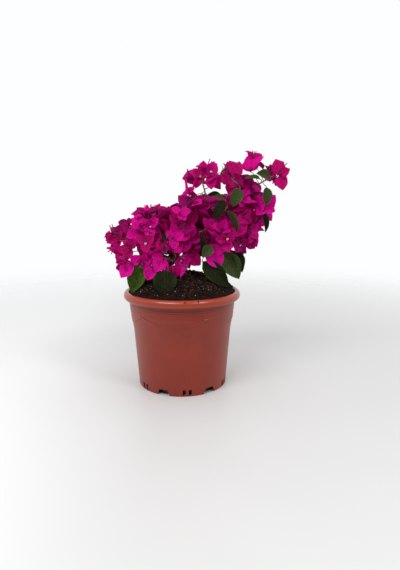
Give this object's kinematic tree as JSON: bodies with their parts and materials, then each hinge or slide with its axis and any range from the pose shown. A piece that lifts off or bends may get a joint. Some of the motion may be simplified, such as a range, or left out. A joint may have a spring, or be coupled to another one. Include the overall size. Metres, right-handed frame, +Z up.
{
  "type": "potted bougainvillea bush",
  "caption": "Young flowering shrub with magenta papery bracts and broad green leaves, arching to one side of a round terracotta-coloured plastic pot.",
  "frame": {"origin": "on the pot's axis, in the plane of its flat underside", "axes": "+Z up; the plant's front faces -Y and its long arching shoot goes towards +X"},
  "size_m": [0.2948, 0.19, 0.3726],
  "materials": {
    "pot_plastic": "satin",
    "soil": "matte",
    "bark": "matte",
    "bracts": "matte",
    "leaves": "satin"
  },
  "bodies": {
    "root": {"pot": "pot_plastic", "potting_mix": "soil", "stem": "bark", "bough_left": "bark", "bough_middle": "bark", "bough_right": "bark", "bough_back": "bark", "shoot_right": "bark", "shoot_upper": "bark", "shoot_tip": "bark", "shoot_hanging": "bark", "mass_middle": "bracts", "mass_left": "bracts", "mass_left_tip": "bracts", "mass_left_low": "bracts", "mass_front": "bracts", "mass_back_left": "bracts", "mass_right": "bracts", "mass_right_edge": "bracts", "mass_centre": "bracts", "mass_back_middle": "bracts", "mass_back_right": "bracts", "mass_neck": "bracts", "mass_shoulder": "bracts", "mass_upper_middle": "bracts", "mass_upper_left": "bracts", "mass_top": "bracts", "mass_tip": "bracts", "mass_hanging_shoot": "bracts", "leaves_left": "leaves", "leaves_front": "leaves", "leaves_right": "leaves", "leaves_right_edge": "leaves", "leaves_back": "leaves"}
  },
  "joints": []
}
